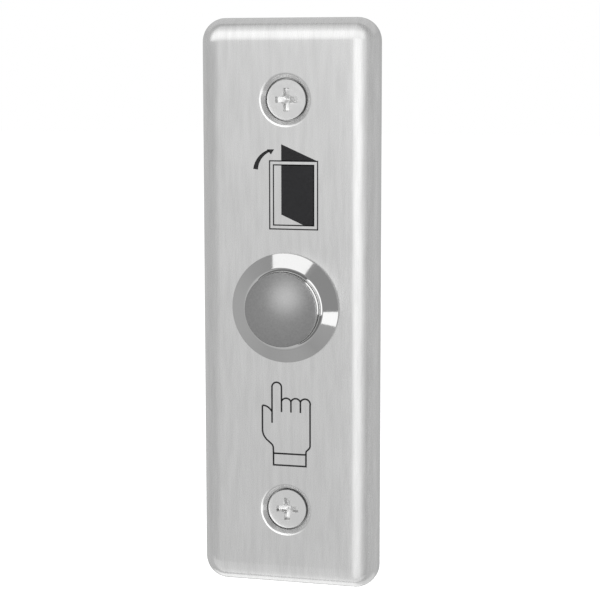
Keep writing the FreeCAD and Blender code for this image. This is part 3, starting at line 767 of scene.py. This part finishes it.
inside = {
    "white_nylon": (speckled("white_nylon", (0.8, 0.79, 0.75), 0.0, 0.45, 0.3), ["plunger"]),
    "black_rubber": (speckled("black_rubber", (0.02, 0.02, 0.02), 0.0, 0.75, 0.15, 0.2), ["stem_seal"]),
    "spring_steel": (
        speckled("spring_steel", (0.48, 0.48, 0.5), 1.0, 0.3, 0.4),
        ["retaining_clip", "contact_spring"],
    ),
    "contact_copper": (speckled("contact_copper", (0.72, 0.42, 0.28), 1.0, 0.3, 0.5), ["contact_bridge"]),
    "silver_tip": (
        speckled("silver_tip", (0.85, 0.85, 0.82), 1.0, 0.22, 0.2),
        ["moving_tip_left", "moving_tip_right", "fixed_tip_left", "fixed_tip_right"],
    ),
}
for finish, names in inside.values():
    for name in names:
        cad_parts[name].data.materials.clear()
        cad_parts[name].data.materials.append(finish)

spring_low, spring_high = (np.array(corner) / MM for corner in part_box("return_spring"))
coil = coil_grid(spring_high[0] - RETURN_WIRE / 2, RETURN_WIRE, RETURN_TURNS, spring_low[1], spring_high[1])
coil_spring = skin("coil_spring", [coil])
settle(coil_spring, inside["spring_steel"][0], "housing", "spring_steel", "return_spring")
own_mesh(coil_spring)


# Panel nut and lock washer: a hexagon of nickel plated brass over a toothed ring of spring steel.
# They clamp the barrel to the plate from behind.

def softened(name, source, width):
    """A merged copy of a solid, with its flat triangles joined and its sharp edges slightly broken."""
    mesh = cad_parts[source].data.copy()
    mesh.name = name
    mesh.materials.clear()
    work = bmesh.new()
    work.from_mesh(mesh)
    bmesh.ops.remove_doubles(work, verts=work.verts, dist=0.0005 * MM)
    bmesh.ops.dissolve_limit(work, angle_limit=math.radians(0.5), verts=work.verts, edges=work.edges)
    work.to_mesh(mesh)
    work.free()
    mesh.shade_smooth()
    mesh.set_sharp_from_angle(angle=math.radians(32))
    piece = bpy.data.objects.new(name, mesh)
    bpy.context.scene.collection.objects.link(piece)
    bevel = piece.modifiers.new("broken_edges", "BEVEL")
    bevel.width = width * MM
    bevel.segments = 2
    bevel.limit_method = "ANGLE"
    bevel.angle_limit = math.radians(32)
    bevel.harden_normals = True
    return piece


nickel_brass = speckled("nickel_brass", (0.66, 0.65, 0.62), 1.0, 0.24, 0.6)
washer_steel = speckled("washer_steel", (0.5, 0.5, 0.52), 1.0, 0.32, 0.3)
settle(softened("hexagon_nut", "panel_nut", 0.1), nickel_brass, "housing", "nickel_brass", "panel_nut")
settle(softened("toothed_ring", "lock_washer", 0.04), washer_steel, "housing", "spring_steel", "lock_washer")


# Contact block: a moulded base of black glass-filled nylon, crimped into the barrel's rear.
# Bent brass terminals pass through it, and slotted screws press square washers on the wires.

black_plastic = speckled("black_plastic", (0.022, 0.022, 0.024), 0.0, 0.5, 0.12, 0.15, 0.25)
terminal_brass = speckled("terminal_brass", (0.78, 0.6, 0.32), 1.0, 0.28, 0.5)
zinc_steel = speckled("zinc_steel", (0.6, 0.61, 0.64), 1.0, 0.3, 0.35, 0.1)
base = softened("moulded_base", "insulator_base", 0.08)
settle(base, black_plastic, "housing", "black_plastic", "insulator_base")
for side in ("left", "right"):
    source = "terminal_" + side
    settle(softened("brass_" + source, source, 0.04), terminal_brass, "housing", "terminal_brass", source)
for name, source, width in (
    ("square_washers", "clamp_washers", 0.06),
    ("slotted_screws", "terminal_screws", 0.08),
):
    settle(softened(name, source, width), zinc_steel, "housing", "zinc_steel", source)


# Mounting screws: two countersunk stainless tapping screws with a cross recess, driven in last.
# Their heads are forged and tumbled, the threads rolled, and each sits in a dimple of the plate.

HEAD_RADIUS = 3.2
HEAD_SUNK = 0.6
HEAD_TOP = FACE + HEAD_SUNK
HEAD_LAND = 0.43
HEAD_EDGE = 0.09
SHANK_RADIUS = 1.75
THREAD_DEPTH = 0.42
THREAD_PITCH = 1.35
SCREW_LENGTH = 19.0
TIP_LENGTH = 3.6
TIP_POINT_RADIUS = 0.3
RECESS_LONG = 1.85
RECESS_SHORT = 0.475
RECESS_KNEE = 1.0
RECESS_DEPTH = 1.95
RECESS_SLOPE = 0.47
SCREW_STEEL = (0.82, 0.82, 0.818)


def cross_outline():
    """Outline (x, z) of the cross recess: an arm's end, side and hollow web, turned four times round."""
    long, short, knee = RECESS_LONG, RECESS_SHORT, RECESS_KNEE
    end = np.stack([np.full(6, long), np.linspace(-short, short, 7)[:-1]], -1)
    side = np.stack([np.linspace(long, knee, 5)[:-1], np.full(4, short)], -1)
    web = bow((knee, knee), knee - short, 270, 180, 8)[:-1]
    out = np.stack([np.full(4, short), np.linspace(knee, long, 5)[:-1]], -1)
    arm = np.concatenate([end, side, web, out])
    turned = [arm]
    for _ in range(3):
        arm = np.stack([-arm[:, 1], arm[:, 0]], -1)
        turned.append(arm)
    turned.append(turned[0][:1])
    return np.concatenate(turned)


def screw_grids():
    """Head with its recess, a thread that tapers to the tip, and the ground point."""
    top = HEAD_TOP
    seat = top + HEAD_LAND
    neck = seat + HEAD_RADIUS - SHANK_RADIUS
    end = top + SCREW_LENGTH
    outline = cross_outline()
    bearing = outline / np.linalg.norm(outline, axis=1)[:, None]
    rim = rounded((HEAD_RADIUS, seat), (HEAD_RADIUS, top, HEAD_EDGE), (HEAD_RADIUS - 0.5, top))
    rows = [np.insert(bearing * r, 1, y, axis=1) for r, y in rim]
    far = bearing * rim[-1, 0]
    for share in (0.5, 0.95, 1.0):
        flat = far + (outline - far) * share
        rows.append(np.insert(flat, 1, top, axis=1))
    rows.append(np.insert(outline * 0.985, 1, top + 0.03, axis=1))
    for share in (0.93, 0.7, 0.45, 0.2, 0.0):
        floor_line = outline * share
        depth = RECESS_DEPTH - RECESS_SLOPE * np.linalg.norm(floor_line, axis=1)
        rows.append(np.insert(floor_line, 1, top + depth, axis=1))
    head = np.array(rows)
    core = SHANK_RADIUS - THREAD_DEPTH

    def taper(radius):
        """A radius that stays even down to the tip and then narrows evenly to the point."""
        narrowing = TIP_POINT_RADIUS - radius
        return lambda y: radius + narrowing * np.clip((y - end + TIP_LENGTH) / TIP_LENGTH, 0, 1)

    cone = lathe(np.array([(HEAD_RADIUS, seat), (SHANK_RADIUS, neck), (core, neck + 0.3)]), 96)
    cone_top = np.array([(HEAD_RADIUS, seat), (HEAD_RADIUS - 0.01, seat + 0.01)])
    ring = np.stack([np.insert(bearing * r, 1, y, axis=1) for r, y in cone_top])
    ridge = thread(taper(SHANK_RADIUS), taper(core), THREAD_PITCH, neck + 0.3, end, 96, 8)
    point = lathe(np.array([(TIP_POINT_RADIUS, end), (0, end)]), 96)
    return [head, ring, cone, ridge, point]


def screw_steel():
    """Tumbled stainless: soft gloss with small dents and a faint grain."""
    finish, shader = new_finish("screw_steel", SCREW_STEEL, 1.0, 0.3)
    place = node(finish, "TexCoord").outputs["Object"]
    grain = stretched_noise(finish, place, (5 / MM, 5 / MM, 1.2 / MM), 3.0)
    dents = stretched_noise(finish, place, (1.2 / MM,) * 3, 2.0)
    light = tuple(c * 1.03 for c in SCREW_STEEL)
    dark = tuple(c * 0.95 for c in SCREW_STEEL)
    feed(finish, tinted(finish, grain, dark, light), shader, "Base Color")
    feed(finish, spread(finish, dents, 0.26, 0.36), shader, "Roughness")
    bump = node(finish, "Bump", {"Strength": 0.15, "Distance": 0.01 * MM, "Height": dents})
    feed(finish, bump.outputs[0], shader, "Normal")
    return finish


screw = screw_grids()
pair = [grid + [0, 0, side * SCREW_Z] for side in (1, -1) for grid in screw]
settle(skin("countersunk_screws", pair), screw_steel(), "housing", "screw_steel", "mounting_screws")


# Studio: a white floor some way below the object, an even white surround and two soft lamps.
# Metal reflects a grey cloth tent that glows in front, and light and dark cards far off and close by.
# The tent and the cards are seen by gloss alone.

FLOOR_Z = -130.0
FLOOR_HALF = 4000.0
FLOOR_LIFT = 0.4
TENT_RADIUS = 900.0
SURROUND = 0.72
EDGE_CARD_GAP = 1.6
TOP_CARD_END = 14.8
RIM_CARD_GAP = 0.5
LIP_CARD_GAP = 1.8
LIP_FLAG_GAP = 0.3
DOME_CARD = (0.85, -11.4, 3.0)
DOME_CARD_RADIUS = 5.6
DOME_CARD_LEVEL = 0.82


def patch(azimuths, elevations, radius, count=24):
    """Part of a sphere about the object, between two azimuths and two elevations in degrees."""
    azimuth = np.radians(np.linspace(*azimuths, count))[None, :]
    elevation = np.radians(np.linspace(*elevations, count))[:, None]
    x = radius * np.sin(azimuth) * np.cos(elevation)
    y = -radius * np.cos(azimuth) * np.cos(elevation)
    z = radius * np.sin(elevation) + 0 * azimuth
    return np.stack([x, y, z], -1)


def only_gloss(piece, finish):
    """Stage that is seen by reflections alone, and neither lights nor shades anything."""
    piece.data.materials.append(finish)
    piece.visible_camera = False
    piece.visible_diffuse = False
    piece.visible_transmission = False
    piece.visible_shadow = False


def glow(name, level):
    """A plain light surface of one level, where 1 is white."""
    finish = bpy.data.materials.new(name)
    finish.use_nodes = True
    finish.node_tree.nodes.clear()
    light = node(finish, "Emission", {"Color": (1, 1, 1, 1), "Strength": level})
    out = node(finish, "OutputMaterial", {"Surface": light.outputs[0]})
    return finish, light, out


def tent_cloth():
    """Grey cloth that glows in front, where two bells of light lie one on the other.

    The cloth is lighter at the sides, behind and right below, and darker above.
    """
    finish, light, _ = glow("tent_cloth", 1.0)
    place = node(finish, "TexCoord").outputs["Object"]
    parts = node(finish, "SeparateXYZ", {0: place}).outputs
    front = node(finish, "Math", {0: parts[1], 1: -1.0}, operation="MULTIPLY").outputs[0]
    azimuth = node(finish, "Math", {0: parts[0], 1: front}, operation="ARCTAN2").outputs[0]
    height = node(finish, "Math", {0: parts[2], 1: TENT_RADIUS * MM}, operation="DIVIDE").outputs[0]
    elevation = node(finish, "Math", {0: height}, operation="ARCSINE").outputs[0]

    def bell(value, middle, width):
        """1 at the middle angle, and e to the power of minus half (offset / width) squared round it."""
        offset = node(finish, "Math", {0: value, 1: math.radians(middle)}, operation="SUBTRACT").outputs[0]
        scaled = node(finish, "Math", {0: offset, 1: math.radians(width)}, operation="DIVIDE").outputs[0]
        square = node(finish, "Math", {0: scaled, 1: scaled}, operation="MULTIPLY").outputs[0]
        half = node(finish, "Math", {0: square, 1: -0.5}, operation="MULTIPLY").outputs[0]
        return node(finish, "Math", {0: half}, operation="EXPONENT").outputs[0]

    def glowing(middle, width, strength, ground):
        """Strength times a bell in azimuth times a bell in elevation, added to the ground level."""
        shape = [bell(azimuth, middle[0], width[0]), bell(elevation, middle[1], width[1])]
        both = node(finish, "Math", {0: shape[0], 1: shape[1]}, operation="MULTIPLY").outputs[0]
        return node(finish, "Math", {0: both, 1: strength, 2: ground}, operation="MULTIPLY_ADD").outputs[0]

    aside = node(finish, "Math", {0: parts[0]}, operation="ABSOLUTE").outputs[0]
    reach = TENT_RADIUS * MM
    grey = spread(finish, aside, 0.48, 0.575, 0.3 * reach, 0.9 * reach)
    upper = spread(finish, parts[2], 0.0, -0.06, 0.05 * reach, 0.5 * reach)
    nadir = spread(finish, parts[2], 0.07, 0.0, -0.97 * reach, -0.85 * reach)
    behind = spread(finish, parts[1], 0.0, 0.06, 0.0, 0.5 * reach)
    for part in (upper, nadir, behind):
        grey = node(finish, "Math", {0: grey, 1: part}, operation="ADD").outputs[0]
    broad = glowing((-7, -8), (19, 22), 0.275, grey)
    feed(finish, glowing((-6, 7), (12, 6), 0.345, broad), light, "Strength")
    return finish


def card(name, grid, level, see_through=False):
    """A light card with a level for each point of its grid; a see-through one adds to what is behind."""
    finish, light, out = glow(name, 1.0)
    piece = skin(name, [grid])
    piece.data.attributes.new("level", "FLOAT", "POINT").data.foreach_set("value", level.ravel())
    feed(finish, node(finish, "Attribute", attribute_name="level").outputs["Fac"], light, "Strength")
    if see_through:
        clear = node(finish, "BsdfTransparent")
        both = node(finish, "AddShader", {0: light.outputs[0], 1: clear.outputs[0]})
        feed(finish, both.outputs[0], out, "Surface")
    only_gloss(piece, finish)


def edge_card(name, gap, along, out, levels, rise, place):
    """A long card close to one edge of the plate; its level goes by the way out from the flat field.

    gap is its distance in front of the face, along and out hold its ends, and levels holds ways out and
    the levels there. rise is the level's growth for each millimetre along, and place turns along and
    out into x and z.
    """
    along, out = np.meshgrid(np.linspace(*along, 3), np.linspace(*out, 300), indexing="ij")
    x, z = place(along, out)
    grid = np.stack([x, np.full(x.shape, FACE - gap), z], -1)
    card(name, grid, np.interp(out, *levels) * (1 + rise * along))


def arc_card(name, radii, bearings, y, centre_z, level, fading=False, thinning=False):
    """A flat card in the shape of an arc, between two radii and two bearings in degrees.

    A fading one adds its light to what is behind it, the most in its middle and none at its ends.
    A thinning one is widest at its first bearing and comes to a point at the second.
    """
    share = np.linspace(0, 1, 41)[None, :]
    turn = np.radians(bearings[0] + (bearings[1] - bearings[0]) * share)
    width = (radii[1] - radii[0]) * (np.sqrt(1.01 - share) if thinning else 1)
    radius = radii[0] + np.linspace(0, 1, 4)[:, None] * width
    grid = np.stack([radius * np.cos(turn), y + 0 * radius * turn, radius * np.sin(turn) + centre_z], -1)
    fade = np.sin(math.pi * share) ** 1.3 if fading else 1 + 0 * share
    card(name, grid, np.broadcast_to(level * fade, grid.shape[:2]), fading)


only_gloss(skin("tent", [patch((-180, 180), (-90, 90), TENT_RADIUS, 96)]), tent_cloth())
for name, azimuths, elevations, level in (
    ("top_light", (-49, 26), (45, 66), 1.52),
    ("small_card", (44, 66), (-26.5, -9.7), 1.62),
    ("dark_flag", (32, 62), (-9.7, 48), 0.4),
    ("rear_ground", (178, 250), (-85, -45), 1.15),
    ("rear_corner", (115, 178), (-85, -34), 0.8),
    ("rear_sky", (100, 260), (25, 88), 0.66),
):
    only_gloss(skin(name, [patch(azimuths, elevations, TENT_RADIUS - 20)]), glow(name, level)[0])

corner = FLAT_Z + 0.6
for name, along, start in (
    ("right_edge_card", (-48, corner), -0.5),
    ("right_corner_card", (corner, 48), TOP_CARD_END - FLAT_X),
):
    edge_card(
        name,
        EDGE_CARD_GAP - 0.02,
        along,
        (start, 8),
        ((-0.5, -0.25, 0.35, 1.85, 3.1, 6), (0.8, 0.98, 1.18, 1.16, 0.82, 0.54)),
        0.0027,
        lambda along, out: (FLAT_X + out, along),
    )
edge_card(
    "top_edge_card",
    EDGE_CARD_GAP,
    (-15.8, TOP_CARD_END),
    (-0.05, 70),
    ((-0.05, 0.45, 1.15, 2.9, 4.0, 6.3, 14, 70), (0.82, 1.05, 1.21, 1.21, 1.03, 0.83, 0.68, 0.66)),
    0.0,
    lambda along, out: (along, FLAT_Z + out),
)
edge_card(
    "bottom_edge_card",
    EDGE_CARD_GAP,
    (-18, 18),
    (0.6, 70),
    ((0.6, 4, 10, 25, 70), (0.72, 0.77, 0.9, 1.1, 1.2)),
    0.0,
    lambda along, out: (along, -FLAT_Z - out),
)

lip_y = FACE - LIP_HEIGHT
arc_card("lip_card", (6.4, 7.3), (-8, 50), lip_y - LIP_CARD_GAP, 0, 1.9)
arc_card("upper_lip_flag", (6.09, 6.7), (51, 132), lip_y - LIP_FLAG_GAP, 0, 0.25, thinning=True)
arc_card("lower_lip_flag", (6.09, 6.7), (-8, -66), lip_y - LIP_FLAG_GAP, 0, 0.25, thinning=True)
for name, side in (("upper", 1), ("lower", -1)):
    arc_card(name + "_rim_card", (3.5, 4.3), (124, 318), FACE - RIM_CARD_GAP, side * SCREW_Z, 1.2, True)
    for part, across, up in (("long", (-0.6, -0.15), (0.15, 1.2)), ("wide", (-0.7, 1.1), (-0.52, 0.15))):
        across, up = np.meshgrid(np.linspace(*across, 4), np.linspace(*up, 4))
        grid = np.stack([across, HEAD_TOP - RIM_CARD_GAP + 0 * up, up + side * SCREW_Z], -1)
        card(f"{name}_{part}_recess_card", grid, np.full(grid.shape[:2], 1.75))

side = np.linspace(-DOME_CARD_RADIUS, DOME_CARD_RADIUS, 61)
across, up = np.meshgrid(side, side)
bell = np.clip(1 - (across**2 + up**2) / DOME_CARD_RADIUS**2, 0, None) ** 2
dome_grid = np.stack([DOME_CARD[0] + across, DOME_CARD[1] + 0 * up, DOME_CARD[2] + up], -1)
card("dome_card", dome_grid, DOME_CARD_LEVEL * bell, True)

ends = np.array([-FLOOR_HALF, FLOOR_HALF])
floor_x, floor_y = np.meshgrid(ends, ends)
floor = skin("floor", [np.stack([floor_x, floor_y, FLOOR_Z + 0 * floor_x], -1)])
floor_finish, floor_shader = new_finish("floor_white", (0.9, 0.9, 0.9), 0.0, 0.9)
floor_shader.inputs["Specular IOR Level"].default_value = 0.0
seen = node(floor_finish, "LightPath").outputs["Is Camera Ray"]
floor_shader.inputs["Emission Color"].default_value = (1, 1, 1, 1)
lift = node(floor_finish, "Math", {0: seen, 1: FLOOR_LIFT}, operation="MULTIPLY").outputs[0]
feed(floor_finish, lift, floor_shader, "Emission Strength")
floor.data.materials.append(floor_finish)
floor.visible_glossy = False

world = bpy.data.worlds.new("surround")
bpy.context.scene.world = world
world.use_nodes = True
background = world.node_tree.nodes["Background"]
background.inputs["Color"].default_value = (1, 1, 1, 1)
rays = node(world, "LightPath").outputs
clear_ray = rays["Is Camera Ray"]
for kind in ("Is Glossy Ray", "Is Transmission Ray"):
    clear_ray = node(world, "Math", {0: clear_ray, 1: rays[kind]}, operation="MAXIMUM").outputs[0]
strength = node(world, "MapRange", {"Value": clear_ray, "To Min": SURROUND})
feed(world, strength.outputs[0], background, "Strength")


def lamp(name, place, size, power):
    """A square soft lamp that faces the object and has no reflection of its own."""
    light = bpy.data.lights.new(name, "AREA")
    light.shape = "SQUARE"
    light.size = size * MM
    light.energy = power
    holder = bpy.data.objects.new(name, light)
    bpy.context.scene.collection.objects.link(holder)
    holder.location = Vector(place) * MM
    holder.rotation_euler = Vector(place).to_track_quat("Z", "Y").to_euler()
    holder.visible_glossy = False


lamp("key_lamp", (350, -600, 600), 300, 5.0)
lamp("fill_lamp", (-500, -500, 150), 400, 2.0)


# Camera: where the photograph was taken from, about 0.3 m away, a little to the right and above.
# Its place and lens were fitted to the outlines of the plate, the bezel and the screws.

CAMERA_AZIMUTH = math.radians(15.324)
CAMERA_ELEVATION = math.radians(7.425)
CAMERA_ROLL = math.radians(-0.075)
CAMERA_DISTANCE = 293.007
CAMERA_TARGET = Vector((1.147, 0, 0.73))
CAMERA_LENS = 108.406

back = Vector(
    (
        math.sin(CAMERA_AZIMUTH) * math.cos(CAMERA_ELEVATION),
        -math.cos(CAMERA_AZIMUTH) * math.cos(CAMERA_ELEVATION),
        math.sin(CAMERA_ELEVATION),
    )
)
camera = bpy.data.objects.new("camera", bpy.data.cameras.new("camera"))
bpy.context.scene.collection.objects.link(camera)
camera.data.lens = CAMERA_LENS
camera.data.sensor_width = 36.0
camera.data.clip_start = 0.01
turn = back.to_track_quat("Z", "Y").to_matrix().to_4x4() @ Matrix.Rotation(CAMERA_ROLL, 4, "Z")
camera.matrix_world = Matrix.Translation((CAMERA_TARGET + back * CAMERA_DISTANCE) * MM) @ turn
bpy.context.scene.camera = camera
bpy.context.scene.view_settings.view_transform = "Standard"
